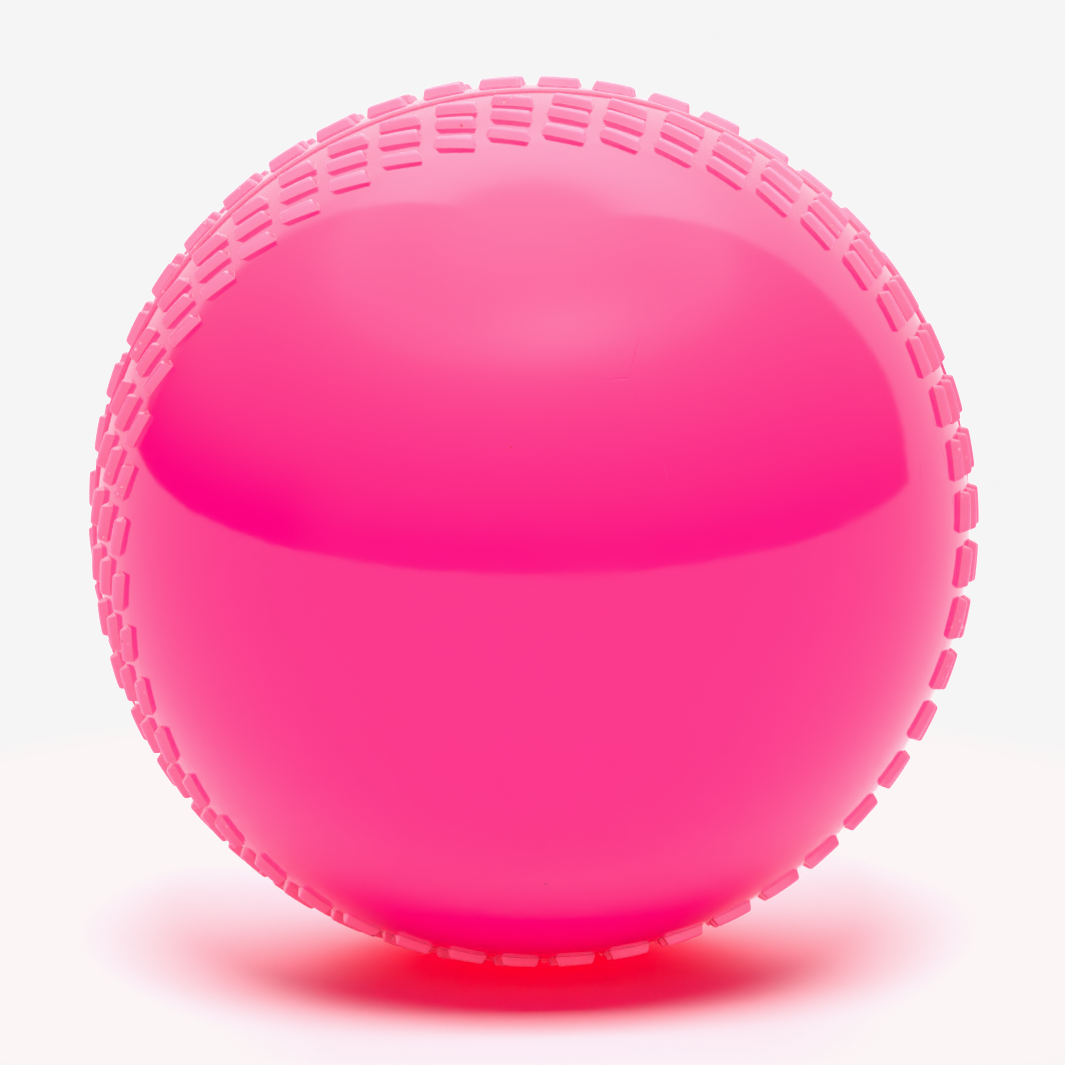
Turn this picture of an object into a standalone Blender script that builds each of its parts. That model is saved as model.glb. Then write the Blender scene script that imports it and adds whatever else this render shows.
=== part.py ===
"""Moulded practice cricket ball: two pink PVC half shells with raised stitches, keyed by an inner band.

The ball's centre is the origin. The pole axis is Y: the front half lies at -Y, the rear half at +Y,
and the seam runs round in the XZ plane. All sizes are in metres.
"""
import math

import bmesh
import bpy
from mathutils import Matrix, Vector

# Driving dimensions
BODY_RADIUS = 0.0357        # smooth body, 71.4 mm across
WALL = 0.0040               # thickness of the PVC wall
GAP = 0.0003                # clearance between pieces that touch on the real ball

# Raised stitches, three rows on each half
STITCHES_PER_ROW = 48
STITCH_ROWS = (             # latitude of each row and its turn about the pole, in degrees
    (7.0, 2.93),
    (12.25, 3.70),
    (17.8, 4.48),
)
STITCH_LENGTH = 0.0038
STITCH_WIDE_END = 0.00125
STITCH_NARROW_END = 0.00095
STITCH_HEIGHT = 0.00074
STITCH_ROOT = 0.0006        # how far a stitch reaches into the wall under it
STITCH_SIDE_DRAFT = 0.00015 # how far the top edge stands back from the foot along each long side
STITCH_END_DRAFT = 0.00035  # the same at the sloping ends
STITCH_SKEW = math.radians(21)
REAR_HALF_TURN = math.radians(0.74)

# The rims of the halves, measured along the pole axis from the seam plane
RIM_FACE = GAP / 2
KEY_HALF_WIDTH = 0.0009     # half the width of the band's rib
KEY_DEPTH = 0.0017          # how far the rib reaches into the wall
BEAD_RADIUS = 0.00034       # weld bead that stands in a narrow groove round the outside
BEAD_CENTRE = 0.03566       # distance of the bead's centre from the pole axis
GROOVE_DEPTH = 0.0007
GROOVE_HALF_WIDTH = 0.00065

# The band inside the joint
BAND_HALF_WIDTH = 0.0060
BAND_THICKNESS = 0.0018

# The plug in the air vent, at the rear pole
VENT_RADIUS = 0.0020
VENT_SEAT_RADIUS = 0.0035
VENT_SEAT_DEPTH = 0.0014
VENT_CUT_OVERRUN = 0.002    # how far the vent's cutter runs past both sides of the wall
PLUG_LIP_RADIUS = 0.0026
PLUG_LIP_HEIGHT = 0.0009

# Facets
SHELL_STEPS = 48
BAND_STEPS = 48
PLUG_STEPS = 24
OUTER_ARC_STEPS = 14
INNER_ARC_STEPS = 8
BEAD_SIDES = 8

INNER_RADIUS = BODY_RADIUS - WALL


def clear_scene():
    for old in list(bpy.data.objects):
        bpy.data.objects.remove(old, do_unlink=True)


def new_collection(name):
    collection = bpy.data.collections.new(name)
    bpy.context.scene.collection.children.link(collection)
    return collection


def new_material(name, colour, roughness):
    material = bpy.data.materials.new(name)
    material.use_nodes = True
    shader = material.node_tree.nodes["Principled BSDF"]
    shader.inputs["Base Color"].default_value = (*colour, 1.0)
    shader.inputs["Roughness"].default_value = roughness
    shader.inputs["Metallic"].default_value = 0.0
    return material


def new_object(name, mesh, collection):
    obj = bpy.data.objects.new(name, mesh)
    collection.objects.link(obj)
    return obj


def finish_part(obj, material):
    obj.data.materials.clear()
    obj.data.materials.append(material)
    obj.data.shade_smooth()
    obj.data.set_sharp_from_angle(angle=math.radians(30))


def arc(radius, low, high, steps):
    """Points of a circle about the origin, from latitude low to latitude high, as (radius, height)."""
    angles = [low + (high - low) * step / steps for step in range(steps + 1)]
    return [(radius * math.cos(a), radius * math.sin(a)) for a in angles]


def latitude_at_height(radius, height):
    return math.asin(height / radius)


def turned_mesh(name, profile, steps, closed):
    """A solid turned about local Z. An open profile starts and ends on the axis."""
    mesh = bpy.data.meshes.new(name)
    edges = [(i, i + 1) for i in range(len(profile) - 1)]
    if closed:
        edges.append((len(profile) - 1, 0))
    mesh.from_pydata([(r, 0.0, h) for r, h in profile], edges, [])
    obj = bpy.data.objects.new(name, mesh)
    bpy.context.scene.collection.objects.link(obj)
    screw = obj.modifiers.new("turn", "SCREW")
    screw.axis = "Z"
    screw.angle = math.tau
    screw.steps = steps
    screw.render_steps = steps
    screw.use_merge_vertices = True
    screw.merge_threshold = 0.00001
    depsgraph = bpy.context.evaluated_depsgraph_get()
    turned = bpy.data.meshes.new_from_object(obj.evaluated_get(depsgraph))
    bpy.data.objects.remove(obj, do_unlink=True)
    turned.name = name
    return turned


def half_shell_profile():
    """Outline of the wall, from the pole down the outer side, across the rim and up the inner side."""
    groove_edge = BODY_RADIUS - GROOVE_DEPTH
    key_radius = INNER_RADIUS + KEY_DEPTH + GAP
    key_face = KEY_HALF_WIDTH + GAP
    outer_end = latitude_at_height(BODY_RADIUS, GROOVE_HALF_WIDTH)
    outer = arc(BODY_RADIUS, math.pi / 2, outer_end, OUTER_ARC_STEPS)
    outer[0] = (0.0, BODY_RADIUS)
    rim = [
        (groove_edge, GROOVE_HALF_WIDTH),
        (groove_edge, RIM_FACE),
        (key_radius, RIM_FACE),
        (key_radius, key_face),
    ]
    inner = arc(INNER_RADIUS, latitude_at_height(INNER_RADIUS, key_face), math.pi / 2, INNER_ARC_STEPS)
    inner[-1] = (0.0, INNER_RADIUS)
    return outer + rim + inner


def stitch_solid(bm, latitude, azimuth):
    """One raised stitch: a tapered bar with drafted sides, leaning across its row."""
    corners = bmesh.ops.create_cube(bm, size=1.0)["verts"]
    for corner in corners:
        along, across, up = corner.co
        width = STITCH_WIDE_END if along < 0 else STITCH_NARROW_END
        height = STITCH_HEIGHT if up > 0 else -STITCH_ROOT
        slope = height / STITCH_HEIGHT
        corner.co.x = math.copysign(STITCH_LENGTH / 2 - STITCH_END_DRAFT * slope, along)
        corner.co.y = math.copysign(width / 2 - STITCH_SIDE_DRAFT * slope, across)
        corner.co.z = height
    lean = Matrix.Rotation(-STITCH_SKEW, 4, "Z")
    lift = Matrix.Translation((0.0, 0.0, BODY_RADIUS))
    # Local X runs east, local Y runs to the pole and local Z runs outwards
    out = Vector((math.cos(latitude) * math.cos(azimuth),
                  math.cos(latitude) * math.sin(azimuth),
                  math.sin(latitude)))
    east = Vector((-math.sin(azimuth), math.cos(azimuth), 0.0))
    north = out.cross(east)
    place = Matrix((east, north, out)).transposed().to_4x4()
    bmesh.ops.transform(bm, matrix=place @ lift @ lean, verts=corners)


def stitches_mesh():
    bm = bmesh.new()
    pitch = math.tau / STITCHES_PER_ROW
    for latitude, turn in STITCH_ROWS:
        for index in range(STITCHES_PER_ROW):
            stitch_solid(bm, math.radians(latitude), math.radians(turn) + index * pitch)
    mesh = bpy.data.meshes.new("stitches")
    bm.to_mesh(mesh)
    bm.free()
    return mesh


def add_boolean(obj, cutter, operation):
    modifier = obj.modifiers.new(operation.lower(), "BOOLEAN")
    modifier.operation = operation
    modifier.solver = "EXACT"
    modifier.object = cutter


def hide_tool(obj):
    obj.hide_render = True
    obj.display_type = "WIRE"


def build_half_shell(name, parts, tools, material, turn):
    """One moulding: a half ball with its rim and its three rows of stitches. turn places its pole."""
    shell = new_object(name, turned_mesh(name, half_shell_profile(), SHELL_STEPS, False), parts)
    stitches = new_object(name + "_stitches", stitches_mesh(), tools)
    hide_tool(stitches)
    shell.rotation_euler = turn
    stitches.rotation_euler = turn
    add_boolean(shell, stitches, "UNION")
    finish_part(shell, material)
    return shell


def build_vent_cutter(tools):
    """The air vent and the round seat round its mouth."""
    seat_floor = BODY_RADIUS - VENT_SEAT_DEPTH
    profile = [
        (0.0, BODY_RADIUS + VENT_CUT_OVERRUN),
        (VENT_SEAT_RADIUS, BODY_RADIUS + VENT_CUT_OVERRUN),
        (VENT_SEAT_RADIUS, seat_floor),
        (VENT_RADIUS, seat_floor),
        (VENT_RADIUS, INNER_RADIUS - VENT_CUT_OVERRUN),
        (0.0, INNER_RADIUS - VENT_CUT_OVERRUN),
    ]
    cutter = new_object("vent_cutter", turned_mesh("vent_cutter", profile, PLUG_STEPS, False), tools)
    cutter.rotation_euler = (-math.pi / 2, 0.0, 0.0)
    hide_tool(cutter)
    return cutter


def build_inner_band(parts, material):
    """The band that backs the joint: it follows the wall inside, and its rib keys both rims."""
    radius = INNER_RADIUS - GAP
    rib_radius = INNER_RADIUS + KEY_DEPTH
    edge = latitude_at_height(radius, BAND_HALF_WIDTH)
    rib_edge = latitude_at_height(radius, KEY_HALF_WIDTH)
    top = arc(radius, edge, rib_edge, 3)
    bottom = [(r, -h) for r, h in reversed(top)]
    rib = [(rib_radius, KEY_HALF_WIDTH), (rib_radius, -KEY_HALF_WIDTH)]
    inner_radius = top[0][0] - BAND_THICKNESS
    back = [(inner_radius, -BAND_HALF_WIDTH), (inner_radius, BAND_HALF_WIDTH)]
    profile = top + rib + bottom + back
    band = new_object("inner_joint_band", turned_mesh("inner_joint_band", profile, BAND_STEPS, True), parts)
    band.rotation_euler = (math.pi / 2, 0.0, 0.0)
    finish_part(band, material)


def build_seam_bead(parts, material):
    """The fine weld bead that closes the joint and shows as the line in the middle of the seam."""
    angles = [-math.tau * (side + 0.5) / BEAD_SIDES for side in range(BEAD_SIDES)]
    profile = [(BEAD_CENTRE + BEAD_RADIUS * math.cos(a), BEAD_RADIUS * math.sin(a)) for a in angles]
    bead = new_object("seam_bead", turned_mesh("seam_bead", profile, BAND_STEPS, True), parts)
    bead.rotation_euler = (math.pi / 2, 0.0, 0.0)
    finish_part(bead, material)


def build_vent_plug(parts, material):
    """A soft plug pushed into the vent: flush head, stem through the wall, and a lip that holds it."""
    head_radius = VENT_SEAT_RADIUS - GAP
    head_floor = BODY_RADIUS - VENT_SEAT_DEPTH + GAP
    stem_radius = VENT_RADIUS - GAP
    lip_top = INNER_RADIUS - 2 * GAP
    edge = math.acos(head_radius / BODY_RADIUS)
    dome = arc(BODY_RADIUS, math.pi / 2, edge, 3)
    dome[0] = (0.0, BODY_RADIUS)
    profile = dome + [
        (head_radius, head_floor),
        (stem_radius, head_floor),
        (stem_radius, lip_top),
        (PLUG_LIP_RADIUS, lip_top),
        (stem_radius, lip_top - PLUG_LIP_HEIGHT),
        (0.0, lip_top - PLUG_LIP_HEIGHT),
    ]
    plug = new_object("vent_plug", turned_mesh("vent_plug", profile, PLUG_STEPS, False), parts)
    plug.rotation_euler = (-math.pi / 2, 0.0, 0.0)
    finish_part(plug, material)


def main():
    clear_scene()
    parts = new_collection("practice_cricket_ball")
    tools = new_collection("cutters")

    front_pvc = new_material("front_half_pvc", (0.87, 0.020, 0.210), 0.18)
    rear_pvc = new_material("rear_half_pvc", (0.87, 0.020, 0.210), 0.18)
    band_pvc = new_material("inner_band_pvc", (0.62, 0.60, 0.57), 0.55)
    bead_pvc = new_material("seam_bead_pvc", (0.90, 0.060, 0.270), 0.30)
    plug_pvc = new_material("vent_plug_pvc", (0.80, 0.015, 0.180), 0.35)

    front_turn = (math.pi / 2, 0.0, 0.0)
    rear_turn = (-math.pi / 2, REAR_HALF_TURN, 0.0)
    build_half_shell("front_half_shell", parts, tools, front_pvc, front_turn)
    rear = build_half_shell("rear_half_shell", parts, tools, rear_pvc, rear_turn)
    add_boolean(rear, build_vent_cutter(tools), "DIFFERENCE")
    build_inner_band(parts, band_pvc)
    build_seam_bead(parts, bead_pvc)
    build_vent_plug(parts, plug_pvc)


main()
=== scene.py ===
"""Looks of the moulded practice cricket ball: fine half shells, seam bead, vent plug, PVC, studio.

Metres, +Z up. The ball's centre is the origin and its pole axis is Y, with the front half at -Y.
"""
import math
import random

import bmesh
import bpy
import numpy as np
from mathutils import Matrix, Vector


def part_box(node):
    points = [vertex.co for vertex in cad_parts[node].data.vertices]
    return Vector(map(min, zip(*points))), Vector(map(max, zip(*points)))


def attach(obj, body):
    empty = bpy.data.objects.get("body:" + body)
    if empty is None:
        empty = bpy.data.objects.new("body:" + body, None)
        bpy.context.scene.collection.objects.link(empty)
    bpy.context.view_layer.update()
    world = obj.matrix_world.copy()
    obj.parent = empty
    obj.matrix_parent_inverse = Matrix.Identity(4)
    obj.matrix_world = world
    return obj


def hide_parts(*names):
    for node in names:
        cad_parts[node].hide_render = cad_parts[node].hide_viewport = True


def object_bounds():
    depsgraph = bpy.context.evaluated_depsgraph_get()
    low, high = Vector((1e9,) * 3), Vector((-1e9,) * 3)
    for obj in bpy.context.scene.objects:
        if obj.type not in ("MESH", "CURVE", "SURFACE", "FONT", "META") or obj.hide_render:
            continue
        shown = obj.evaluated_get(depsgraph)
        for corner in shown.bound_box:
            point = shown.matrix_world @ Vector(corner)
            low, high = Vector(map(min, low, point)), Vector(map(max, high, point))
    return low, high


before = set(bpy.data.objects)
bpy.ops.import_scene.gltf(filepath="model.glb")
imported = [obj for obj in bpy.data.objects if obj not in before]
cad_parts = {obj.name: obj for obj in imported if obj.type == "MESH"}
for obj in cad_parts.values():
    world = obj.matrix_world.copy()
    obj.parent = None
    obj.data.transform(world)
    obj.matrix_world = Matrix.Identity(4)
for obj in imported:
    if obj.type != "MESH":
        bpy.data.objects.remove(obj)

cad_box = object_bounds()
MM = 0.001

# ---- Sizes in step with the CAD model's ---------------------------------------------------------
BODY_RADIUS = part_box("front_half_shell")[0].y * -1
WALL = 4.0 * MM
INNER_RADIUS = BODY_RADIUS - WALL
STITCHES_PER_ROW = 48
PITCH = math.tau / STITCHES_PER_ROW
ROW_LATITUDES = [math.radians(a) for a in (7.0, 12.25, 17.8)]
FIRST_ROW_TURN = math.radians(2.93)
ROW_SHEAR = 0.144                        # turn of the rows about the pole for each step in latitude
STITCH_LENGTHS = (3.80 * MM, 3.82 * MM, 3.72 * MM)     # by row, from the seam outward
STITCH_WIDE_END = 1.08 * MM
STITCH_NARROW_END = 0.86 * MM
STITCH_SKEW = math.radians(21)
REAR_HALF_TURN = math.radians(0.74)
VENT_RADIUS = 2.0 * MM
VENT_SEAT_RADIUS = 3.35 * MM
VENT_SEAT_DEPTH = 1.4 * MM

# ---- How far one stitch differs from the next ---------------------------------------------------
LENGTH_SPREAD = (0.97, 1.02)
WIDTH_SPREAD = (0.88, 1.10)
TIP_SPREAD = (0.5, 1.3)
HEIGHT_SPREAD = (0.94, 1.04)
LEAN_SPREAD = 2.0                        # degrees
SHIFT_ALONG = 0.12 * MM
SHIFT_ACROSS = 0.06 * MM

# ---- Mesh density -------------------------------------------------------------------------------
CELL_ALONG = 10                          # faces along one stitch's cell, and so round the ball
CELL_ACROSS = 7
ARC_STEPS = 4                            # faces round each corner of a stitch
RING = STITCHES_PER_ROW * CELL_ALONG
THINNING = 4                             # the inside of the wall has this many times fewer faces round
INNER_RING = RING // THINNING
WELD_DISTANCE = 0.0015 * MM


def point(azimuth, latitude, radius):
    """Point of a half shell in its own frame, whose pole is +Z."""
    return np.array([
        radius * math.cos(latitude) * math.cos(azimuth),
        radius * math.cos(latitude) * math.sin(azimuth),
        radius * math.sin(latitude),
    ])


class Surface:
    """Collects vertices and faces. Vertices in the same place are welded at the end."""

    def __init__(self):
        self.points = []
        self.relief = []
        self.faces = []

    def add(self, points, relief=0.0):
        """Relief, 0 to 1, is how far the stitches' paler colour, a painted glow, shows: one number or one
        a point.
        """
        start = len(self.points)
        self.points.extend(points)
        self.relief.extend(relief if isinstance(relief, list) else [relief] * len(points))
        return list(range(start, start + len(points)))

    def strip(self, ring_a, ring_b):
        """Quads between two closed rings of the same length."""
        count = len(ring_a)
        for i in range(count):
            j = (i + 1) % count
            self.faces.append((ring_a[i], ring_a[j], ring_b[j], ring_b[i]))

    def thin_out(self, fine, coarse):
        """Triangles between a fine ring and one with THINNING times fewer vertices."""
        count = len(coarse)
        for i in range(count):
            j = (i + 1) % count
            for step in range(THINNING):
                a = fine[THINNING * i + step]
                b = fine[(THINNING * i + step + 1) % len(fine)]
                self.faces.append((a, b, coarse[i]))
            self.faces.append((coarse[i], fine[(THINNING * i + THINNING) % len(fine)], coarse[j]))

    def grid(self, rows):
        """Quads between rows of the same length, one above the other."""
        for low, high in zip(rows, rows[1:]):
            for i in range(len(low) - 1):
                self.faces.append((low[i], low[i + 1], high[i + 1], high[i]))

    def mesh(self, name):
        """The finished mesh, welded and smooth, with the relief as an attribute of its points."""
        mesh = bpy.data.meshes.new(name)
        mesh.from_pydata(self.points, [], self.faces)
        relief = mesh.attributes.new("relief", "FLOAT", "POINT")
        relief.data.foreach_set("value", np.array(self.relief, np.float32))
        bm = bmesh.new()
        bm.from_mesh(mesh)
        bmesh.ops.remove_doubles(bm, verts=bm.verts, dist=WELD_DISTANCE)
        bmesh.ops.recalc_face_normals(bm, faces=bm.faces)
        bm.to_mesh(mesh)
        bm.free()
        mesh.shade_smooth()
        return mesh


# ---- One stitch and the patch of wall round it --------------------------------------------------
# Section of a stitch from its foot to its top, in mm: inset of the ends, inset of the sides, height
STITCH_SECTION = (
    (-0.05, -0.05, 0.0),
    (-0.01, -0.01, 0.02),
    (0.02, 0.02, 0.08),
    (0.20, 0.16, 0.52),
    (0.28, 0.22, 0.65),
    (0.36, 0.30, 0.71),
    (0.46, 0.38, 0.735),
)
# Share of the stitches' painted glow at each step of the section
STITCH_RELIEF = (0.30, 0.60, 0.90, 1.0, 1.0, 0.80, 0.60)     # at each step of the section
TOP_CROWN = 0.012 * MM                   # how far the top bulges in its middle
TOP_UNEVENNESS = 0.002 * MM
# Corners of a stitch, starting at the lower left: how far each end slants, and each corner's rounding
TIP_SLANT = 0.20 * MM
TIP_FLARE = 0.06 * MM
BLUNT_END_SLANT = 0.10 * MM
CORNER_RADIUS = (0.30 * MM, 0.36 * MM, 0.34 * MM, 0.12 * MM)
# The stitches' painted glow spills onto the plain wall near them, which is painted a little paler too
PALE_ZONE_RELIEF = 0.34
PALE_ZONE_START = math.radians(18.0)
PALE_ZONE_END = math.radians(22.6)
# Rings of vertices between a cell's edge (0) and the foot of its stitch (1)
WALL_RINGS = (0.0, 0.50, 0.88, 0.985)


def corner_arc(before, corner, after, radius):
    """The points that round one corner of an outline."""
    into = (before - corner) / np.linalg.norm(before - corner)
    out = (after - corner) / np.linalg.norm(after - corner)
    half = math.acos(float(np.clip(into @ out, -1, 1))) / 2
    reach = radius / math.tan(half)
    bisector = (into + out) / np.linalg.norm(into + out)
    centre = corner + bisector * radius / math.sin(half)
    start = corner + into * reach - centre
    end = corner + out * reach - centre
    angle = math.acos(float(np.clip(start @ end / radius ** 2, -1, 1)))
    points = []
    for step in range(ARC_STEPS + 1):
        t = step / ARC_STEPS
        spoke = start * math.sin((1 - t) * angle) + end * math.sin(t * angle)
        points.append(centre + spoke / math.sin(angle))
    return points


def pale_zone(latitude):
    """Relief of the plain wall: painted glow that spreads a little way round the stitches."""
    share = min(1.0, max(0.0, (PALE_ZONE_END - latitude) / (PALE_ZONE_END - PALE_ZONE_START)))
    return PALE_ZONE_RELIEF * share * share * (3 - 2 * share)


def stitch_outline(row, rng):
    """Closed outline of one stitch in its own plane, matched point for point with its cell's edge."""
    length = STITCH_LENGTHS[row] * rng.uniform(*LENGTH_SPREAD)
    wide = STITCH_WIDE_END * rng.uniform(*WIDTH_SPREAD)
    narrow = STITCH_NARROW_END * rng.uniform(*WIDTH_SPREAD)
    tip = TIP_SLANT * rng.uniform(*TIP_SPREAD)
    corners = [
        np.array([-length / 2 + tip, -wide / 2]),
        np.array([length / 2, -narrow / 2]),
        np.array([length / 2 - BLUNT_END_SLANT, narrow / 2]),
        np.array([-length / 2, wide / 2 + TIP_FLARE]),
    ]
    arcs = []
    for i, radius in enumerate(CORNER_RADIUS):
        arcs.append(corner_arc(corners[i - 1], corners[i], corners[(i + 1) % 4], radius))
    outline = []
    for i, count in enumerate((CELL_ALONG, CELL_ACROSS, CELL_ALONG, CELL_ACROSS)):
        here, there = arcs[i], arcs[(i + 1) % 4]
        straight = count - ARC_STEPS
        outline += here[ARC_STEPS // 2:]
        outline += [here[-1] + (there[0] - here[-1]) * step / straight for step in range(1, straight)]
        outline += there[:ARC_STEPS // 2]
    skew = -STITCH_SKEW + math.radians(rng.uniform(-LEAN_SPREAD, LEAN_SPREAD))
    turn = np.array([[math.cos(skew), -math.sin(skew)], [math.sin(skew), math.cos(skew)]])
    along = rng.uniform(-SHIFT_ALONG, SHIFT_ALONG)
    across = rng.uniform(-SHIFT_ACROSS, SHIFT_ACROSS)
    half_size = np.array([length / 2, (wide + narrow) / 4])
    return np.array(outline), half_size, turn, np.array([along, across])


def cell_edge(low, high, column):
    """Azimuth and latitude round the edge of one cell, anticlockwise."""
    def place(along, across):
        latitude = low + (high - low) * across
        azimuth = FIRST_ROW_TURN + PITCH * (column + along - 0.5)
        return azimuth + ROW_SHEAR * (latitude - ROW_LATITUDES[0]), latitude
    edge = [place(i / CELL_ALONG, 0.0) for i in range(CELL_ALONG)]
    edge += [place(1.0, i / CELL_ACROSS) for i in range(CELL_ACROSS)]
    edge += [place(1.0 - i / CELL_ALONG, 1.0) for i in range(CELL_ALONG)]
    edge += [place(0.0, 1.0 - i / CELL_ACROSS) for i in range(CELL_ACROSS)]
    return edge


def ring_to_rows(ring):
    """The four sides of a closed ring of a cell: bottom, right, top and left, each low to high."""
    a, b = CELL_ALONG, CELL_ACROSS
    bottom = ring[0:a + 1]
    right = ring[a:a + b + 1]
    top = ring[a + b:2 * a + b + 1][::-1]
    left = (ring[2 * a + b:] + ring[:1])[::-1]
    return bottom, right, top, left


def add_stitch_cell(surface, row, column, rng):
    """One stitch and the patch of wall round it, out to the edges it shares with the next cells."""
    row_latitude = ROW_LATITUDES[row]
    azimuth = FIRST_ROW_TURN + PITCH * column + ROW_SHEAR * (row_latitude - ROW_LATITUDES[0])
    out = point(azimuth, row_latitude, 1.0)
    east = np.array([-math.sin(azimuth), math.cos(azimuth), 0.0])
    north = np.cross(out, east)

    def lift(flat, height):
        direction = out * BODY_RADIUS + east * flat[0] + north * flat[1]
        return direction / np.linalg.norm(direction) * (BODY_RADIUS + height)

    edge = []
    for az, lat in cell_edge(ROW_EDGES[row], ROW_EDGES[row + 1], column):
        direction = point(az, lat, 1.0)
        edge.append(BODY_RADIUS * np.array([direction @ east, direction @ north]) / (direction @ out))
    edge = np.array(edge)
    outline, half_size, turn, shift = stitch_outline(row, rng)
    grow = rng.uniform(*HEIGHT_SPREAD)
    rings = []
    for end_inset, side_inset, height in STITCH_SECTION:
        shrink = 1 - np.array([end_inset, side_inset]) * MM / half_size
        rings.append(((outline * shrink) @ turn.T + shift, height * MM * grow))
    foot = rings[0][0]
    previous = None
    for share in WALL_RINGS:
        between = [lift(p, 0.0) for p in edge + (foot - edge) * share]
        ring = surface.add(between, [pale_zone(math.asin(p[2] / BODY_RADIUS)) for p in between])
        if previous is not None:
            surface.strip(previous, ring)
        previous = ring
    for (flat, height), relief in zip(rings, STITCH_RELIEF):
        ring = surface.add([lift(p, height) for p in flat], relief)
        surface.strip(previous, ring)
        previous = ring
    # The top, filled from its four sides
    flat, height = rings[-1]
    bottom, right, top, left = (np.array(s) for s in ring_to_rows([list(p) for p in flat]))
    ids_bottom, ids_right, ids_top, ids_left = ring_to_rows(previous)
    rows = [ids_bottom]
    for j in range(1, CELL_ACROSS):
        v = j / CELL_ACROSS
        inner = []
        for i in range(1, CELL_ALONG):
            u = i / CELL_ALONG
            blend = (1 - v) * bottom[i] + v * top[i] + (1 - u) * left[j] + u * right[j]
            blend -= (1 - u) * (1 - v) * bottom[0] + u * (1 - v) * bottom[-1]
            blend -= (1 - u) * v * top[0] + u * v * top[-1]
            bulge = TOP_CROWN * math.sin(math.pi * v) * math.sin(math.pi * u)
            inner.append(lift(blend, height + bulge + rng.uniform(-TOP_UNEVENNESS, TOP_UNEVENNESS)))
        rows.append([ids_left[j]] + surface.add(inner, STITCH_RELIEF[-1]) + [ids_right[j]])
    rows.append(ids_top)
    surface.grid(rows)


# ---- A half shell -------------------------------------------------------------------------------
ROW_EDGES = [math.radians(a) for a in (4.2, 9.6, 15.0, 20.6)]
CAP_START = ROW_EDGES[-1]
RIM_START = math.radians(0.6)            # where the wall begins to turn into the groove of the bead
RIM_FACE = 0.03 * MM                     # half the gap between the two rims
LEDGE_WIDTH = 2.0 * MM                   # step in the rim that takes the band's rib
LEDGE_HEIGHT = 1.2 * MM
# Side of the groove and its floor: depth under the surface and height over the seam plane, in mm
GROOVE_PROFILE = ((0.01, 0.29), (0.03, 0.26), (0.08, 0.25), (0.85, 0.25), (0.90, 0.03))
INNER_START_STEP = math.radians(3)       # from the ledge to the first coarse ring inside
SEAT_ROUNDING = 0.12 * MM
INNER_HOLE_RINGS = (4.0 * MM, 3.0 * MM)  # coarse rings round the vent, inside


def ring_azimuth(index, latitude, count=RING):
    start = FIRST_ROW_TURN - PITCH / 2 + ROW_SHEAR * (latitude - ROW_LATITUDES[0])
    return start + math.tau * index / count


def add_ring(surface, radius, height, turn_latitude, count=RING):
    """A level ring, given by its distance from the axis and its height over the seam plane."""
    points = []
    for i in range(count):
        azimuth = ring_azimuth(i, turn_latitude, count)
        points.append(np.array([radius * math.cos(azimuth), radius * math.sin(azimuth), height]))
    return surface.add(points, pale_zone(math.atan2(height, radius)))


def add_rings(surface, profile, turn_latitude, previous=None, count=RING):
    for radius, height in profile:
        ring = add_ring(surface, radius, height, turn_latitude, count)
        if previous is not None:
            surface.strip(previous, ring)
        previous = ring
    return previous


def arc_profile(radius, low, high, steps):
    angles = [low + (high - low) * s / steps for s in range(steps + 1)]
    return [(radius * math.cos(a), radius * math.sin(a)) for a in angles]


def add_disc(surface, radius, edge_latitude, turn_latitude, count):
    """A spherical cap of even quads: a square grid bent into a disc."""
    side = count // 4
    start = ring_azimuth(0, turn_latitude, count)
    rows = []
    for j in range(side + 1):
        row = []
        relief = []
        for i in range(side + 1):
            x = 2 * i / side - 1
            y = 2 * j / side - 1
            if x == 0 and y == 0:
                r, angle = 0.0, 0.0
            elif abs(x) >= abs(y):
                r = abs(x)
                angle = math.pi / 4 * y / x + (math.pi if x < 0 else 0.0)
            else:
                r = abs(y)
                angle = math.pi / 2 - math.pi / 4 * x / y + (math.pi if y < 0 else 0.0)
            latitude = math.pi / 2 - r * (math.pi / 2 - edge_latitude)
            row.append(point(start + angle + math.pi / 4, latitude, radius))
            relief.append(pale_zone(latitude))
        rows.append(surface.add(row, relief))
    surface.grid(rows)


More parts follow.
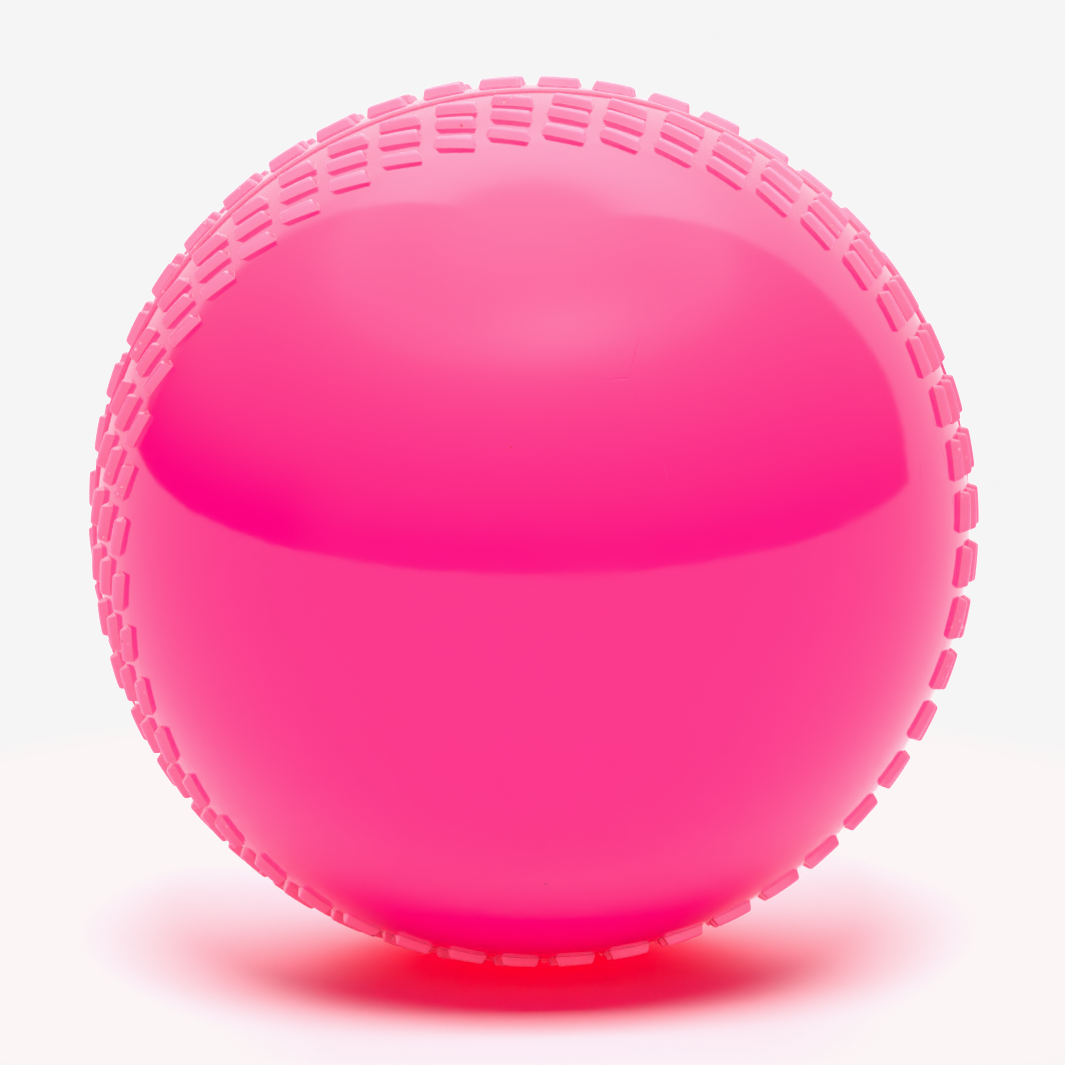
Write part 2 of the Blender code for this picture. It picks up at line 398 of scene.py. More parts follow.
def half_shell(name, seed, vented):
    """The wall of one half in its own frame, with its pole at +Z and its rim just over Z = 0."""
    rng = random.Random(seed)
    surface = Surface()
    for row in range(len(ROW_LATITUDES)):
        for column in range(STITCHES_PER_ROW):
            add_stitch_cell(surface, row, column, rng)
    # From the first row down to the joint, then round the rim to the wall's inner side
    seam_side = arc_profile(BODY_RADIUS, ROW_EDGES[0], RIM_START, 10)
    rim = [(BODY_RADIUS - depth * MM, height * MM) for depth, height in GROOVE_PROFILE]
    rim += [(INNER_RADIUS + LEDGE_WIDTH, RIM_FACE), (INNER_RADIUS + LEDGE_WIDTH, LEDGE_HEIGHT)]
    inner_start = math.asin(LEDGE_HEIGHT / INNER_RADIUS)
    inner_edge = (INNER_RADIUS * math.cos(inner_start), INNER_RADIUS * math.sin(inner_start))
    last = add_rings(surface, seam_side + rim + [inner_edge], ROW_EDGES[0])
    inner_low = inner_start + INNER_START_STEP
    first = (INNER_RADIUS * math.cos(inner_low), INNER_RADIUS * math.sin(inner_low))
    coarse = add_ring(surface, *first, ROW_EDGES[0], INNER_RING)
    surface.thin_out(last, coarse)
    if not vented:
        add_disc(surface, BODY_RADIUS, CAP_START, CAP_START, RING)
        add_disc(surface, INNER_RADIUS, inner_low, ROW_EDGES[0], INNER_RING)
        return surface.mesh(name)
    seat_edge = math.acos(VENT_SEAT_RADIUS / BODY_RADIUS)
    outside = arc_profile(BODY_RADIUS, CAP_START, seat_edge - SEAT_ROUNDING / BODY_RADIUS, 42)
    edge_height = BODY_RADIUS * math.sin(seat_edge)
    seat = [
        (VENT_SEAT_RADIUS + SEAT_ROUNDING / 4, edge_height - SEAT_ROUNDING / 3),
        (VENT_SEAT_RADIUS, edge_height - SEAT_ROUNDING),
        (VENT_SEAT_RADIUS, BODY_RADIUS - VENT_SEAT_DEPTH),
        (VENT_RADIUS, BODY_RADIUS - VENT_SEAT_DEPTH),
        (VENT_RADIUS, math.sqrt(INNER_RADIUS ** 2 - VENT_RADIUS ** 2)),
    ]
    hole = add_rings(surface, outside + seat, CAP_START)
    outer_ring, inner_ring = INNER_HOLE_RINGS
    inner_pole = math.acos(outer_ring / INNER_RADIUS)
    inside = arc_profile(INNER_RADIUS, inner_low, inner_pole, 16)[1:]
    inner_last = add_rings(surface, inside, ROW_EDGES[0], coarse, INNER_RING)
    inner_height = math.sqrt(INNER_RADIUS ** 2 - inner_ring ** 2)
    turned = add_ring(surface, inner_ring, inner_height, CAP_START, INNER_RING)
    surface.strip(inner_last, turned)
    surface.thin_out(hole, turned)
    return surface.mesh(name)


def new_object(name, mesh, matrix=None):
    obj = bpy.data.objects.new(name, mesh)
    bpy.context.scene.collection.objects.link(obj)
    if matrix is not None:
        mesh.transform(matrix)
    return obj


TO_FRONT = Matrix.Rotation(math.pi / 2, 4, "X")
TO_REAR = Matrix.Rotation(REAR_HALF_TURN, 4, "Y") @ Matrix.Rotation(-math.pi / 2, 4, "X")


# ---- Seam bead and vent plug --------------------------------------------------------------------
BEAD_STEPS = 960
BEAD_PROUD, BEAD_PROUD_SPREAD = 0.27 * MM, 0.03 * MM
BEAD_HALF_WIDTH, BEAD_WIDTH_SPREAD = 0.21 * MM, 0.015 * MM
BEAD_DRIFT = 0.02 * MM                   # how far it wanders to either side of the joint
BEAD_ROOT = 0.75 * MM                    # how deep it sits in the groove
PLUG_STEPS = 128
PLUG_HEAD = VENT_SEAT_RADIUS - 0.07 * MM
PLUG_STEM = VENT_RADIUS - 0.05 * MM
PLUG_SHOULDER = VENT_SEAT_DEPTH - 0.05 * MM
# Dished face of the plug: radius and depth under the ball's surface, in mm
PLUG_FACE = (
    (0.0, 0.10), (0.35, 0.11), (0.42, 0.20), (0.55, 0.24),
    (1.4, 0.24), (2.1, 0.20), (2.35, 0.12), (2.6, 0.10),
)
# Rounded rim of the head: how far in from its side and how far down from its edge, in mm
PLUG_RIM = ((0.25, 0.01), (0.08, 0.04), (0.0, 0.14))
# Lip behind the wall: radius and depth under the wall's inner side, in mm
PLUG_LIP = ((2.6, 0.45), (2.65, 0.6), (1.7, 1.5), (0.0, 1.5))


def ring_solid(name, profile_at, steps, relief):
    """A closed ring about Z. profile_at gives the section at an angle as (radius, height) points."""
    surface = Surface()
    rings = []
    for step in range(steps):
        angle = math.tau * step / steps
        turned = [np.array([r * math.cos(angle), r * math.sin(angle), h]) for r, h in profile_at(angle)]
        rings.append(surface.add(turned, relief))
    for step in range(steps):
        surface.strip(rings[step], rings[(step + 1) % steps])
    return surface.mesh(name)


def build_seam_bead():
    """The raised line round the joint, uneven like a weld."""
    rng = random.Random(11)
    waves = [(rng.randint(7, 60), rng.uniform(0, math.tau), rng.uniform(0.3, 1.0)) for _ in range(9)]
    total = sum(w[2] for w in waves)

    def section(angle):
        wobble = sum(a * math.sin(n * angle + p) for n, p, a in waves) / total
        drift = sum(a * math.sin((n + 3) * angle + 2 * p) for n, p, a in waves) / total
        proud = BEAD_PROUD + BEAD_PROUD_SPREAD * wobble
        half = BEAD_HALF_WIDTH + BEAD_WIDTH_SPREAD * wobble
        middle = BEAD_DRIFT * drift
        # One flank, from the root to the crest: radius and share of the half width
        flank = (
            (BODY_RADIUS - BEAD_ROOT, 1.0),
            (BODY_RADIUS - 0.02 * MM, 1.0),
            (BODY_RADIUS + proud * 0.55, 0.86),
            (BODY_RADIUS + proud - 0.015 * MM, 0.5),
        )
        one_side = [(radius, middle - half * share) for radius, share in flank]
        other_side = [(radius, middle + half * share) for radius, share in reversed(flank)]
        return one_side + [(BODY_RADIUS + proud, middle)] + other_side
    # The whole bead is painted with the stitches' glow, and painted paler on top as backlight
    mesh = ring_solid("seam_weld_bead", section, BEAD_STEPS, 1.0)
    return new_object("seam_weld_bead", mesh, TO_FRONT)


def build_vent_plug():
    """Turned plug with a dished head, a moulding nib, a stem and a lip behind the wall."""
    edge = math.sqrt(BODY_RADIUS ** 2 - PLUG_HEAD ** 2)
    shoulder = BODY_RADIUS - PLUG_SHOULDER
    profile = [(radius * MM, BODY_RADIUS - depth * MM) for radius, depth in PLUG_FACE]
    profile += [(PLUG_HEAD - inset * MM, edge - drop * MM) for inset, drop in PLUG_RIM]
    profile += [(PLUG_HEAD, shoulder), (PLUG_STEM, shoulder), (PLUG_STEM, INNER_RADIUS - 0.4 * MM)]
    profile += [(radius * MM, INNER_RADIUS - depth * MM) for radius, depth in PLUG_LIP]
    surface = Surface()
    angles = [math.tau * s / PLUG_STEPS for s in range(PLUG_STEPS)]
    rings = []
    for radius, height in profile[1:-1]:
        ring = [np.array([radius * math.cos(a), radius * math.sin(a), height]) for a in angles]
        rings.append(surface.add(ring))
    for low, high in zip(rings, rings[1:]):
        surface.strip(low, high)
    for ring, (_, height) in ((rings[0], profile[0]), (rings[-1], profile[-1])):
        centre = surface.add([np.array([0.0, 0.0, height])])[0]
        for s in range(PLUG_STEPS):
            surface.faces.append((ring[s], ring[(s + 1) % PLUG_STEPS], centre))
    mesh = surface.mesh("vent_plug_fine")
    mesh.set_sharp_from_angle(angle=math.radians(40))
    return new_object("vent_plug_fine", mesh, TO_REAR)


# ---- Materials ----------------------------------------------------------------------------------
# Colours are linear. Scales of patterns are in repeats per metre. A fade is the pair of values of a
# pattern between which its mark comes or goes, and an area is a second pattern that says where it may be.
CLOUD_SCALE, CLOUD_FADE, CLOUD_SHARE = 55, (0.35, 0.68), 0.35
# Painted glow on the stitches: the relief over which it comes in, and its share
STITCH_FADE, STITCH_SHARE = (0.15, 0.9), 0.9
SPECK_SCALE, SPECK_FADE, SPECK_SHARE = 260, (0.035, 0.055), 0.55
SPECK_AREA_SCALE, SPECK_AREA_FADE = 210, (0.60, 0.64)
BUBBLE_SCALE, BUBBLE_FADE, BUBBLE_GLINT_SHARE = 1300, (0.12, 0.24), 0.6
BUBBLE_AREA_SCALE, BUBBLE_AREA_FADE = 130, (0.54, 0.62)
BUBBLE_RELIEF = (0.5, 1.0)
SCRATCH_SCALE, SCRATCH_FADE, SCRATCH_ROUGHNESS = 95, (0.0, 0.006), 0.25
SCRATCH_AREA_SCALE, SCRATCH_AREA_FADE = 38, (0.60, 0.66)
SCRATCH_STRETCH, SCRATCH_TURN = (1.0, 1.0, 0.22), (0.4, 0.9, 0.3)
SMEAR_SCALE, SMEAR_FADE, SMEAR_SHARE = 90, (0.42, 0.72), 0.6
PEEL_SCALE, PEEL_DEPTH = 620, 0.006 * MM
WAVE_SCALE, WAVE_DEPTH = 120, 0.02 * MM
PIT_DEPTH, PIT_STRENGTH = 0.10 * MM, 0.8
SCRATCH_DEPTH, SCRATCH_STRENGTH = 0.01 * MM, 0.7
BAND_PALE, BAND_DARK = (0.66, 0.63, 0.58), (0.56, 0.54, 0.50)
BAND_CLOUD_SCALE, BAND_MATT_SCALE, BAND_ROUGHNESS = 80, 300, (0.45, 0.62)
GRAIN_SCALE = 900
PVC_IOR = 1.5
DYE_SCATTER = (1.0, 0.25, 0.45)          # how far red, green and blue travel, as shares of the depth
DYE_SCATTER_DEPTH = 1.2 * MM
DUST = (0.30, 0.004, 0.05)
# Painted glint of the bubbles in the stitches
BUBBLE_GLINT = (0.98, 0.62, 0.74)
# Painted backlight: where the stitches' painted glow turns paler still, behind and on top
BACKLIT_BEHIND = (0.0, 4.0 * MM)         # Y over which the stitches turn paler, and how far
BACKLIT_BEHIND_SHARE = 0.25
BACKLIT_HIGH = (12.0 * MM, 34.0 * MM)    # Z over which they do
BACKLIT_HIGH_SHARE = 0.9


class Nodes:
    """Short calls for building a node tree."""

    def __init__(self, tree):
        self.tree = tree
        tree.nodes.clear()

    def new(self, kind, **values):
        node = self.tree.nodes.new(kind)
        for key, value in values.items():
            setattr(node, key, value)
        return node

    def link(self, out, into):
        self.tree.links.new(out, into)

    def math(self, operation, a, b=None, clamp=False):
        node = self.new("ShaderNodeMath", operation=operation, use_clamp=clamp)
        for socket, value in zip(node.inputs, (a, b)):
            if value is None:
                continue
            if isinstance(value, (int, float)):
                socket.default_value = value
            else:
                self.link(value, socket)
        return node.outputs[0]

    def noise(self, coordinates, scale, detail=3.0, roughness=0.5):
        node = self.new("ShaderNodeTexNoise")
        node.inputs["Scale"].default_value = scale
        node.inputs["Detail"].default_value = detail
        node.inputs["Roughness"].default_value = roughness
        self.link(coordinates, node.inputs["Vector"])
        return node.outputs["Fac"]

    def cells(self, coordinates, scale, feature="F1"):
        node = self.new("ShaderNodeTexVoronoi", feature=feature)
        node.inputs["Scale"].default_value = scale
        self.link(coordinates, node.inputs["Vector"])
        return node.outputs["Distance"]

    def ramp(self, value, low, high, to_low=0.0, to_high=1.0):
        """A smooth step of value between low and high, from to_low to to_high."""
        node = self.new("ShaderNodeMapRange", clamp=True, interpolation_type="SMOOTHSTEP")
        limits = {"From Min": low, "From Max": high, "To Min": to_low, "To Max": to_high}
        for name, number in limits.items():
            node.inputs[name].default_value = number
        self.link(value, node.inputs["Value"])
        return node.outputs["Result"]

    def mix(self, factor, a, b):
        node = self.new("ShaderNodeMix", data_type="RGBA")
        for socket, value in ((node.inputs[0], factor), (node.inputs[6], a), (node.inputs[7], b)):
            if isinstance(value, (int, float)):
                socket.default_value = value
            elif isinstance(value, tuple):
                socket.default_value = (*value, 1.0)
            else:
                self.link(value, socket)
        return node.outputs[2]

    def bump(self, height, distance, strength=1.0, normal=None):
        node = self.new("ShaderNodeBump")
        node.inputs["Distance"].default_value = distance
        node.inputs["Strength"].default_value = strength
        self.link(height, node.inputs["Height"])
        if normal is not None:
            self.link(normal, node.inputs["Normal"])
        return node.outputs["Normal"]


def pvc_material(name, base, deep, light, backlit, roughness, subsurface):
    """Glossy dyed PVC: cloudy dye, specks, hairline scratches, handling smears and soft orange peel.

    The dye clouds from base to deep. The stitches take the colour light as a painted glow for the light
    that comes through the thin plastic, and the colour backlit behind and on top as painted backlight.
    Bubbles in the stitches get a painted glint.
    """
    material = bpy.data.materials.new(name)
    material.use_nodes = True
    n = Nodes(material.node_tree)
    where = n.new("ShaderNodeTexCoord").outputs["Object"]
    shader = n.new("ShaderNodeBsdfPrincipled")
    output = n.new("ShaderNodeOutputMaterial")
    n.link(shader.outputs[0], output.inputs["Surface"])
    relief = n.new("ShaderNodeAttribute", attribute_name="relief").outputs["Fac"]

    # Dye that clouds a little
    clouds = n.ramp(n.noise(where, CLOUD_SCALE, 4), *CLOUD_FADE)
    colour = n.mix(n.math("MULTIPLY", clouds, CLOUD_SHARE), base, deep)
    # Painted glow: the thin stitches are painted paler for the light that comes through them, and painted
    # paler still behind and on top as painted backlight
    axis = n.new("ShaderNodeSeparateXYZ")
    n.link(where, axis.inputs[0])
    behind = n.ramp(axis.outputs["Y"], *BACKLIT_BEHIND, 0.0, BACKLIT_BEHIND_SHARE)
    high = n.ramp(axis.outputs["Z"], *BACKLIT_HIGH, 0.0, BACKLIT_HIGH_SHARE)
    glowing = n.mix(n.math("ADD", behind, high, clamp=True), light, backlit)
    colour = n.mix(n.math("MULTIPLY", n.ramp(relief, *STITCH_FADE), STITCH_SHARE), colour, glowing)
    # Sparse dark specks of dust under the gloss
    specks = n.ramp(n.cells(where, SPECK_SCALE), *SPECK_FADE, 1.0, 0.0)
    speck_area = n.ramp(n.noise(where, SPECK_AREA_SCALE, 1), *SPECK_AREA_FADE)
    specks = n.math("MULTIPLY", specks, speck_area)
    colour = n.mix(n.math("MULTIPLY", specks, SPECK_SHARE), colour, DUST)
    # Small bubbles, only in the stitches, with a painted glint of near white; their pits are bumped below
    bubbles_and_glints = n.ramp(n.cells(where, BUBBLE_SCALE), *BUBBLE_FADE, 1.0, 0.0)
    bubble_area = n.ramp(n.noise(where, BUBBLE_AREA_SCALE, 2), *BUBBLE_AREA_FADE)
    bubbles_and_glints = n.math("MULTIPLY", n.math("MULTIPLY", bubbles_and_glints, bubble_area), n.ramp(relief, *BUBBLE_RELIEF))
    colour = n.mix(n.math("MULTIPLY", bubbles_and_glints, BUBBLE_GLINT_SHARE), colour, BUBBLE_GLINT)
    n.link(colour, shader.inputs["Base Color"])

    # Hairline scratches: the edges of a stretched cell pattern
    stretched = n.new("ShaderNodeMapping")
    stretched.inputs["Scale"].default_value = SCRATCH_STRETCH
    stretched.inputs["Rotation"].default_value = SCRATCH_TURN
    n.link(where, stretched.inputs["Vector"])
    edges = n.cells(stretched.outputs[0], SCRATCH_SCALE, "DISTANCE_TO_EDGE")
    scratch_area = n.ramp(n.noise(where, SCRATCH_AREA_SCALE, 2), *SCRATCH_AREA_FADE)
    scratches = n.math("MULTIPLY", n.ramp(edges, *SCRATCH_FADE, 1.0, 0.0), scratch_area)
    smears = n.ramp(n.noise(where, SMEAR_SCALE, 5, 0.6), *SMEAR_FADE)
    rough = n.math("ADD", n.math("MULTIPLY", smears, roughness * SMEAR_SHARE), roughness)
    rough = n.math("ADD", rough, n.math("MULTIPLY", scratches, SCRATCH_ROUGHNESS))
    n.link(rough, shader.inputs["Roughness"])

    # Orange peel, longer waves, the pits of burst bubbles and the scratches, one on another
    peel = n.bump(n.noise(where, PEEL_SCALE, 2, 0.45), PEEL_DEPTH)
    waves = n.bump(n.noise(where, WAVE_SCALE, 2, 0.4), WAVE_DEPTH, 1.0, peel)
    pitted = n.bump(n.math("MULTIPLY", bubbles_and_glints, -1.0), PIT_DEPTH, PIT_STRENGTH, waves)
    dents = n.math("MULTIPLY", scratches, -1.0)
    n.link(n.bump(dents, SCRATCH_DEPTH, SCRATCH_STRENGTH, pitted), shader.inputs["Normal"])

    shader.inputs["IOR"].default_value = PVC_IOR
    shader.inputs["Metallic"].default_value = 0.0
    shader.inputs["Subsurface Weight"].default_value = subsurface
    shader.inputs["Subsurface Radius"].default_value = DYE_SCATTER
    shader.inputs["Subsurface Scale"].default_value = DYE_SCATTER_DEPTH
    return material


def band_material():
    """Unpigmented PVC, slightly cloudy and rather matt."""
    material = bpy.data.materials.new("joint_band_natural_pvc")
    material.use_nodes = True
    n = Nodes(material.node_tree)
    where = n.new("ShaderNodeTexCoord").outputs["Object"]
    shader = n.new("ShaderNodeBsdfPrincipled")
    output = n.new("ShaderNodeOutputMaterial")
    n.link(shader.outputs[0], output.inputs["Surface"])
    clouds = n.noise(where, BAND_CLOUD_SCALE, 4)
    n.link(n.mix(clouds, BAND_PALE, BAND_DARK), shader.inputs["Base Color"])
    matt = n.ramp(n.noise(where, BAND_MATT_SCALE, 3), 0.3, 0.7, *BAND_ROUGHNESS)
    n.link(matt, shader.inputs["Roughness"])
    n.link(n.bump(n.noise(where, GRAIN_SCALE, 2), 0.01 * MM), shader.inputs["Normal"])
    shader.inputs["IOR"].default_value = PVC_IOR
    return material


# ---- Studio -------------------------------------------------------------------------------------
CAMERA_AZIMUTH = math.radians(-4.25)
CAMERA_ELEVATION = math.radians(12.75)
CAMERA_DISTANCE = 18 * BODY_RADIUS
CAMERA_LENS, CAMERA_SENSOR = 265.5, 36.0
AIM_BELOW_CENTRE = 0.9 * MM
WHITE = 0.913                            # linear value of the plain backdrop
CHANNEL_LIMITS = ((0.0, 0.968), (0.007, WHITE), (0.0, WHITE))    # what counts as 0, and the highest value

# Table
FLOOR_LEVEL = cad_box[0].z
FLOOR_HALF_WIDTH = 4.0
FLOOR_FRONT, FLOOR_BACK = -2.6, 6.0
FLOOR_LIT_RADIUS = 0.042                 # the lamps' light ends here, and
FLOOR_EVEN_RADIUS = 0.095                # from here on the table glows evenly
FLOOR_GREY = (0.86, 0.86, 0.86, 1.0)
FLOOR_GLOW = (WHITE, 1.2 * WHITE, 1.2 * WHITE, 1.0)

# Tent that the gloss mirrors. Angles are in degrees; azimuth is from the front, positive to the right
TENT_TILT = math.radians(2.95)
TENT_TURN = math.radians(1.25)
LAMP_AZIMUTH, LAMP_ELEVATION = 12.0, 61.0
LAMP_WIDTH, LAMP_HEIGHT = 38.0, 8.5
LAMP_LEVEL = 1.35
DARK_CORNER_ELEVATION = (2.0, 22.0)
DARK_CORNER_AZIMUTH = (-75.0, -52.0)
DARK_CORNER_SHARE = 0.85
SWEEP_RIGHT, SWEEP_LEFT = 121.0, -137.0  # the white sweep lies behind these azimuths
SWEEP_EDGE = 2.0
SWEEP_CORNER_ELEVATION = 14.0            # below this the right edge comes forward, by up to
SWEEP_CORNER_TURN = 6.0
# Brightness of the room and of the sweep at each elevation
FRONT_GLOW = (
    (-90, 0.2), (-3, 0.22), (3, 0.22), (8, 0.36), (15, 0.58), (25, 0.92),
    (35, 1.35), (45, 2.00), (55, 3.05), (65, 3.30), (75, 3.75), (90, 4.20),
)
BACK_GLOW = (
    (-90, 1.0), (0, 1.15), (8, 1.25), (15, 1.42), (25, 1.85), (35, 2.30),
    (45, 3.20), (55, 4.40), (65, 4.90), (75, 3.90), (90, 4.10),
)
GLOW_SCALE = 5.0                         # keeps the curves' values between 0 and 1

# Lamps
PALE = (0.73, 1.0, 1.0)                  # the red that is missing comes through the ball
THROUGH_BALL = (1.0, 0.0, 0.03)
WARM = (1.0, 0.62, 0.62)
FILL_REACH = 0.9


def build_camera():
    data = bpy.data.cameras.new("camera")
    data.lens = CAMERA_LENS
    data.sensor_width = CAMERA_SENSOR
    data.clip_start = 0.01
    data.clip_end = 20
    camera = bpy.data.objects.new("camera", data)
    bpy.context.scene.collection.objects.link(camera)
    a, e = CAMERA_AZIMUTH, CAMERA_ELEVATION
    back = Vector((math.sin(a) * math.cos(e), -math.cos(a) * math.cos(e), math.sin(e)))
    right = Vector((math.cos(a), math.sin(a), 0.0))
    up = back.cross(right)
    camera.location = back * CAMERA_DISTANCE
    aim = up * -AIM_BELOW_CENTRE
    camera.rotation_euler = (aim - camera.location).to_track_quat("-Z", "Y").to_euler()
    bpy.context.scene.camera = camera


def curve_of(n, value, stops, scale):
    """A smooth curve through (angle in degrees, brightness) stops."""
    low, high = stops[0][0], stops[-1][0]
    node = n.new("ShaderNodeFloatCurve")
    curve = node.mapping.curves[0]
    node.mapping.use_clip = False
    for index, (angle, level) in enumerate(stops):
        at = (angle - low) / (high - low)
        if index == 0:
            spot = curve.points[0]
        elif index == len(stops) - 1:
            spot = curve.points[-1]
        else:
            spot = curve.points.new(at, level / scale)
        spot.location = (at, level / scale)
    node.mapping.update()
    n.link(n.math("DIVIDE", n.math("SUBTRACT", value, low), high - low), node.inputs["Value"])
    return n.math("MULTIPLY", node.outputs["Value"], scale)


def build_world():
    """A plain backdrop for the camera, and for the gloss a dim room in front of a white sweep."""
    world = bpy.data.worlds.new("light_tent")
    bpy.context.scene.world = world
    world.use_nodes = True
    world.cycles.sampling_method = "NONE"
    n = Nodes(world.node_tree)
    direction = n.new("ShaderNodeSeparateXYZ")
    tilt = n.new("ShaderNodeMapping", vector_type="POINT")
    tilt.inputs["Rotation"].default_value = (TENT_TILT, 0.0, TENT_TURN)
    n.link(n.new("ShaderNodeTexCoord").outputs["Generated"], tilt.inputs["Vector"])
    n.link(tilt.outputs[0], direction.inputs[0])
    x, y, z = direction.outputs
    elevation = n.math("DEGREES", n.math("ARCSINE", z))
    azimuth = n.math("DEGREES", n.math("ARCTAN2", x, n.math("MULTIPLY", y, -1.0)))
    front = curve_of(n, elevation, FRONT_GLOW, GLOW_SCALE)
    back = curve_of(n, elevation, BACK_GLOW, GLOW_SCALE)
    # The lamp: a soft bright patch high in front
    off_side = n.math("DIVIDE", n.math("SUBTRACT", azimuth, LAMP_AZIMUTH), LAMP_WIDTH)
    off_up = n.math("DIVIDE", n.math("SUBTRACT", elevation, LAMP_ELEVATION), LAMP_HEIGHT)
    off = n.math("ADD", n.math("MULTIPLY", off_side, off_side), n.math("MULTIPLY", off_up, off_up))
    lamp = n.math("MULTIPLY", n.math("EXPONENT", n.math("MULTIPLY", off, -1.0)), LAMP_LEVEL)
    # The room is darkest low on the left
    low = n.ramp(elevation, *DARK_CORNER_ELEVATION, 1.0, 0.0)
    left = n.ramp(azimuth, *DARK_CORNER_AZIMUTH, 1.0, 0.0)
    dark = n.math("MULTIPLY", n.math("MULTIPLY", low, left), DARK_CORNER_SHARE)
    room = n.math("ADD", n.math("MULTIPLY", front, n.math("SUBTRACT", 1.0, dark)), lamp)
    # Where the sweep begins, with a rounded lower corner on the right
    corner = n.ramp(elevation, 0.0, SWEEP_CORNER_ELEVATION, SWEEP_CORNER_TURN, 0.0)
    past_right = n.math("SUBTRACT", azimuth, n.math("SUBTRACT", SWEEP_RIGHT, corner))
    past_left = n.math("SUBTRACT", SWEEP_LEFT, azimuth)
    past = n.math("MAXIMUM", past_right, past_left)
    sweep = n.ramp(past, -SWEEP_EDGE, SWEEP_EDGE)
    tent = n.math("ADD", n.math("MULTIPLY", room, n.math("SUBTRACT", 1.0, sweep)),
                  n.math("MULTIPLY", back, sweep))
    path = n.new("ShaderNodeLightPath")
    mirrored = n.new("ShaderNodeBackground")
    n.link(tent, mirrored.inputs["Color"])
    plain = n.new("ShaderNodeBackground")
    plain.inputs["Color"].default_value = (WHITE, WHITE, WHITE, 1.0)
    # Diffuse light comes from the panels alone
    dull = n.new("ShaderNodeBackground")
    dull.inputs["Color"].default_value = (0.0, 0.0, 0.0, 1.0)
    glossy = n.new("ShaderNodeMixShader")
    n.link(path.outputs["Is Glossy Ray"], glossy.inputs[0])
    n.link(dull.outputs[0], glossy.inputs[1])
    n.link(mirrored.outputs[0], glossy.inputs[2])
    seen = n.new("ShaderNodeMixShader")
    n.link(path.outputs["Is Camera Ray"], seen.inputs[0])
    n.link(glossy.outputs[0], seen.inputs[1])
    n.link(plain.outputs[0], seen.inputs[2])
    output = n.new("ShaderNodeOutputWorld")
    n.link(seen.outputs[0], output.inputs["Surface"])


def build_floor():
    """The pale table. Away from the ball it glows as evenly as the backdrop."""
    mesh = bpy.data.meshes.new("floor")
    bm = bmesh.new()
    bmesh.ops.create_grid(bm, x_segments=1, y_segments=1, size=1.0)
    for vertex in bm.verts:
        vertex.co.x *= FLOOR_HALF_WIDTH
        vertex.co.y = FLOOR_BACK if vertex.co.y > 0 else FLOOR_FRONT
        vertex.co.z = FLOOR_LEVEL
    bm.to_mesh(mesh)
    bm.free()
    floor = new_object("floor", mesh)
    material = bpy.data.materials.new("pale_table")
    material.use_nodes = True
    n = Nodes(material.node_tree)
    where = n.new("ShaderNodeTexCoord").outputs["Object"]
    length = n.new("ShaderNodeVectorMath", operation="LENGTH")
    n.link(where, length.inputs[0])
    far = n.ramp(length.outputs["Value"], FLOOR_LIT_RADIUS, FLOOR_EVEN_RADIUS)
    near = n.new("ShaderNodeBsdfPrincipled")
    near.inputs["Base Color"].default_value = FLOOR_GREY
    near.inputs["Roughness"].default_value = 0.9
    near.inputs["Specular IOR Level"].default_value = 0.0
    grain = n.bump(n.noise(where, GRAIN_SCALE, 3), 0.02 * MM)
    n.link(grain, near.inputs["Normal"])
    glow = n.new("ShaderNodeEmission")
    glow.inputs["Color"].default_value = FLOOR_GLOW
    mixed = n.new("ShaderNodeMixShader")
    n.link(far, mixed.inputs[0])
    n.link(near.outputs[0], mixed.inputs[1])
    n.link(glow.outputs[0], mixed.inputs[2])
    output = n.new("ShaderNodeOutputMaterial")
    n.link(mixed.outputs[0], output.inputs["Surface"])
    mesh.materials.append(material)
    return floor


def add_panel(name, location, target, size, radiance, colour, receivers):
    """A soft rectangular lamp of even radiance that lights only the objects in receivers."""
    data = bpy.data.lights.new(name, "AREA")
    data.shape = "RECTANGLE"
    data.size, data.size_y = size
    data.energy = radiance * math.pi * size[0] * size[1]
    data.color = colour
    lamp = bpy.data.objects.new(name, data)
    bpy.context.scene.collection.objects.link(lamp)
    lamp.location = location
    lamp.rotation_euler = (target - location).to_track_quat("-Z", "Y").to_euler()
    lamp.visible_camera = False
    lamp.visible_glossy = False
    lamp.light_linking.receiver_collection = receivers
    return lamp


def group_of(name, objects):
    collection = bpy.data.collections.new(name)
    for obj in objects:
        collection.objects.link(obj)
    return collection


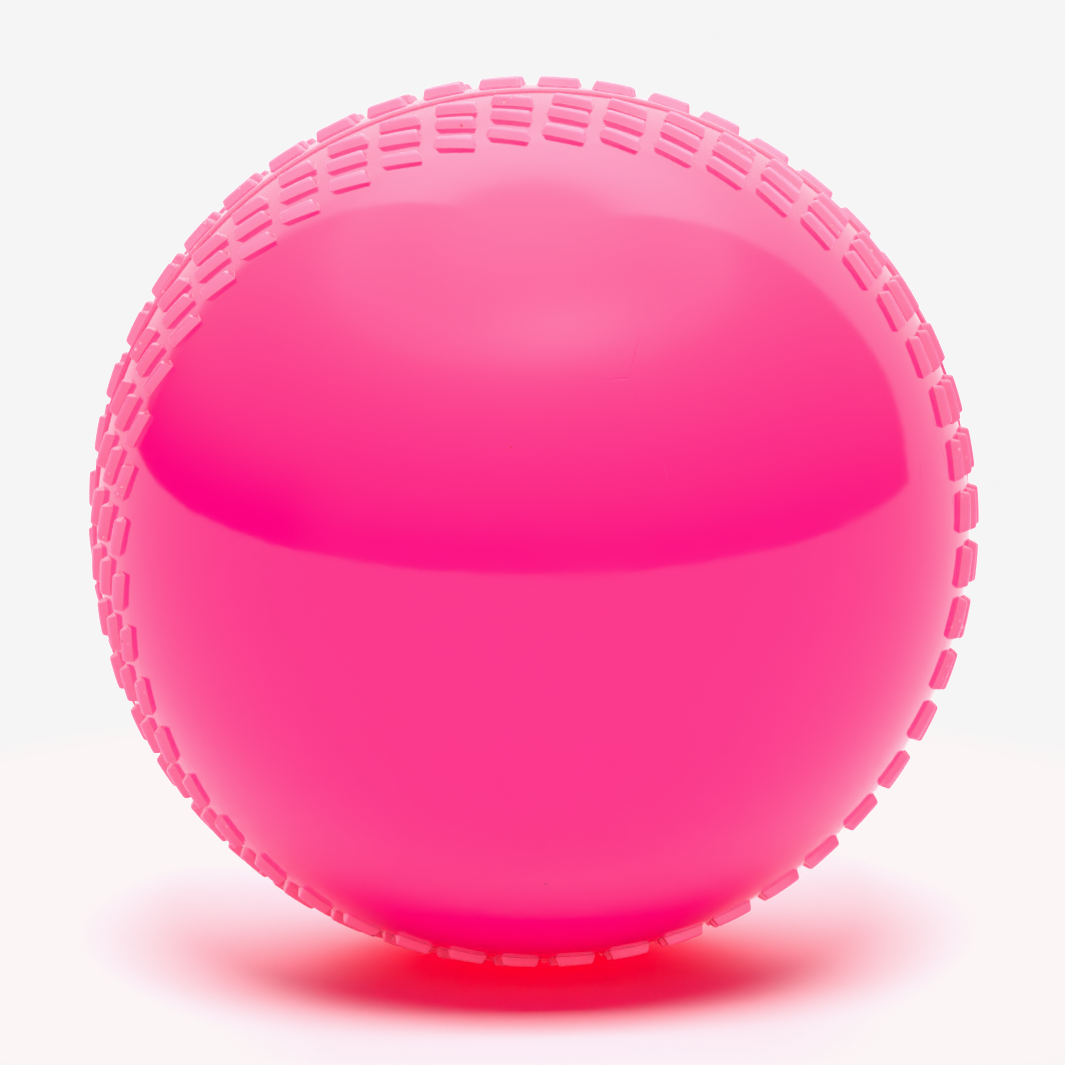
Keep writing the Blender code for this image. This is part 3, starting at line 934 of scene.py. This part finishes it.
def build_lamps(floor, pieces):
    on_floor = group_of("lit_floor", [floor])
    on_ball = group_of("lit_ball", pieces)
    table = Vector((0.0, 0.0, FLOOR_LEVEL))
    for name, at, target, size, level in (
        ("front_strip", (0.0, -0.147, 0.255), (0.0, -0.147, 0.0), (0.166, 0.092), 19.8),
        ("rear_panel", (0.0, 0.162, 0.073), (0.0, 0.148, 0.0), (0.155, 0.145), 9.1),
    ):
        add_panel(name, table + Vector(at), table + Vector(target), size, level, PALE, on_floor)
    # Light that the translucent ball passes on to the table: only the table can block it
    inside_ball = table + Vector((0.0, 0.0, 0.050))
    glow = add_panel("light_through_ball", inside_ball, table, (0.036, 0.036), 5.6, THROUGH_BALL, on_floor)
    glow.light_linking.blocker_collection = on_floor
    fill_size = (2 * FILL_REACH, 2 * FILL_REACH)
    for name, at, level in (
        ("front_fill", (0.0, -FILL_REACH, 0.0), 1.95),
        ("back_fill", (0.0, FILL_REACH, 0.0), 1.95),
        ("left_fill", (-FILL_REACH, 0.0, 0.0), 1.80),
        ("right_fill", (FILL_REACH, 0.0, 0.0), 1.80),
        ("top_fill", (0.0, 0.0, FILL_REACH), 1.30),
    ):
        add_panel(name, Vector(at), Vector((0.0, 0.0, 0.0)), fill_size, level, WARM, on_ball)


def set_white_point():
    """Plain colours, held at the backdrop's white (red a little over it), with a floor under green."""
    settings = bpy.context.scene.view_settings
    settings.view_transform = "Standard"
    settings.look = "None"
    settings.exposure = 0.0
    settings.gamma = 1.0
    settings.use_curve_mapping = True
    mapping = settings.curve_mapping
    mapping.extend = "HORIZONTAL"
    for channel, (dark, limit) in enumerate(CHANNEL_LIMITS):
        points = mapping.curves[channel].points
        points[0].location = (dark, 0.0)
        points[1].location = (limit, limit)
    mapping.update()


def main():
    build_camera()
    # light and backlit are the colours of the painted glow on the stitches and of its paler painted
    # backlight
    pink = pvc_material(
        "half_shell_pink_pvc", base=(0.93, 0.004, 0.216), deep=(0.90, 0.003, 0.203),
        light=(0.97, 0.190, 0.380), backlit=(0.97, 0.39, 0.59), roughness=0.07, subsurface=0.12,
    )
    bead_pink = pvc_material(
        "seam_bead_pink_pvc", base=(0.95, 0.130, 0.340), deep=(0.93, 0.090, 0.300),
        light=(0.96, 0.120, 0.330), backlit=(0.97, 0.47, 0.62), roughness=0.16, subsurface=0.12,
    )
    plug_pink = pvc_material(
        "vent_plug_pink_pvc", base=(0.90, 0.004, 0.180), deep=(0.85, 0.003, 0.16),
        light=(0.95, 0.03, 0.24), backlit=(0.95, 0.03, 0.24), roughness=0.22, subsurface=0.08,
    )

    front = new_object("front_half_shell_fine", half_shell("front_half_shell_fine", 1, False), TO_FRONT)
    rear = new_object("rear_half_shell_fine", half_shell("rear_half_shell_fine", 2, True), TO_REAR)
    bead = build_seam_bead()
    plug = build_vent_plug()
    for piece, node, slot, material in (
        (front, "front_half_shell", "half_shell_pvc", pink),
        (rear, "rear_half_shell", "half_shell_pvc", pink),
        (bead, "seam_bead", "seam_bead_pvc", bead_pink),
        (plug, "vent_plug", "vent_plug_pvc", plug_pink),
    ):
        piece.data.materials.append(material)
        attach(piece, "root")
        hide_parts(node)
    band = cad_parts["inner_joint_band"]
    band.material_slots[0].material = band_material()

    floor = build_floor()
    build_world()
    build_lamps(floor, [front, rear, bead, plug, band])
    set_white_point()


main()
